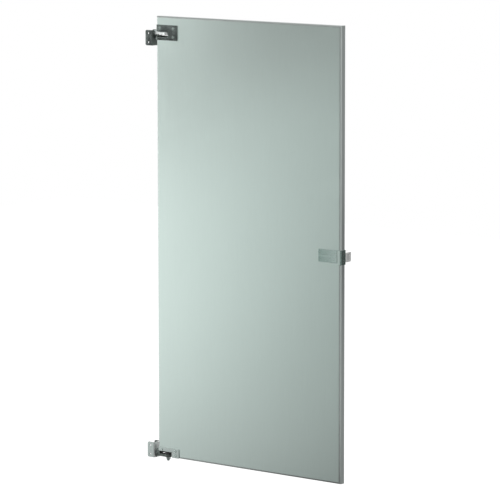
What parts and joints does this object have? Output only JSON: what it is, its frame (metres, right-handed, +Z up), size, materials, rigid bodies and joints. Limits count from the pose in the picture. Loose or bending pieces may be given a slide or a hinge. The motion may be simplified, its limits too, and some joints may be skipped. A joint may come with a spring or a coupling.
{
  "type": "toilet stall door",
  "caption": "Hollow metal toilet stall door leaf with recessed gravity pivot hinges, pilaster brackets and a slide latch, hinged on the left and opening inwards.",
  "frame": {"origin": "on the lower bracket's seat against the pilaster's edge, at the middle of the leaf's thickness and level with the leaf's bottom edge", "axes": "+X runs from the hinge pilaster's edge along the leaf towards the latch, +Y into the stall, +Z up"},
  "size_m": [0.8052, 0.0791, 1.4889],
  "materials": {
    "leaf_face": "satin",
    "leaf_edge": "satin",
    "casting": "polished",
    "latch_metal": "satin",
    "screw_steel": "satin",
    "hidden_steel": "matte",
    "nylon": "satin",
    "core_paper": "matte"
  },
  "bodies": {
    "pilaster_brackets": {"upper_pilaster_bracket": "casting", "lower_pilaster_bracket": "casting", "upper_pivot_pin": "screw_steel", "lower_arm_bushing": "nylon", "lower_cam": "nylon"},
    "pivot": {"lower_pivot_pin": "screw_steel", "lower_pivot_washer": "screw_steel", "lower_pivot_nut": "casting"},
    "door": {"front_face_sheet": "leaf_face", "rear_face_sheet": "leaf_face", "honeycomb_core": "core_paper", "top_edge_moulding": "leaf_edge", "bottom_edge_moulding": "leaf_edge", "hinge_edge_moulding": "leaf_edge", "hinge_edge_moulding_top": "leaf_edge", "latch_edge_moulding_upper": "leaf_edge", "latch_edge_moulding_lower": "leaf_edge", "upper_hinge_channel": "hidden_steel", "lower_hinge_channel": "hidden_steel", "latch_channel": "hidden_steel", "upper_door_casting": "casting", "upper_pivot_bushing": "nylon", "upper_casting_screws": "casting", "upper_barrel_nuts": "casting", "lower_door_casting": "casting", "upper_cam": "nylon", "lower_casting_screws": "casting", "lower_barrel_nuts": "casting", "outside_latch_plate": "casting", "latch_edge_guard": "casting", "edge_guard_screws": "screw_steel", "latch_case": "latch_metal", "latch_cover": "latch_metal", "latch_case_screws": "screw_steel", "latch_cover_screws": "screw_steel", "latch_spring": "hidden_steel"},
    "latch": {"latch_bolt": "casting", "latch_knob": "latch_metal", "latch_knob_screw": "screw_steel"}
  },
  "joints": [
    {"name": "door_swing", "type": "hinge", "parent": "pilaster_brackets", "child": "pivot", "pos_m": [0.0497, 0, 0], "axis": [0, 0, 1], "range_deg": [0, 110]},
    {"name": "door_rise", "type": "slide", "parent": "pivot", "child": "door", "axis": [0, 0, 1], "range_m": [0, 0.0038]},
    {"name": "latch_slide", "type": "slide", "parent": "door", "child": "latch", "axis": [1, 0, 0], "range_m": [0, 0.018]}
  ],
  "couplings": [
    {"joint": "door_rise", "follows": "door_swing", "m_per_rad": 0.0019099}
  ]
}
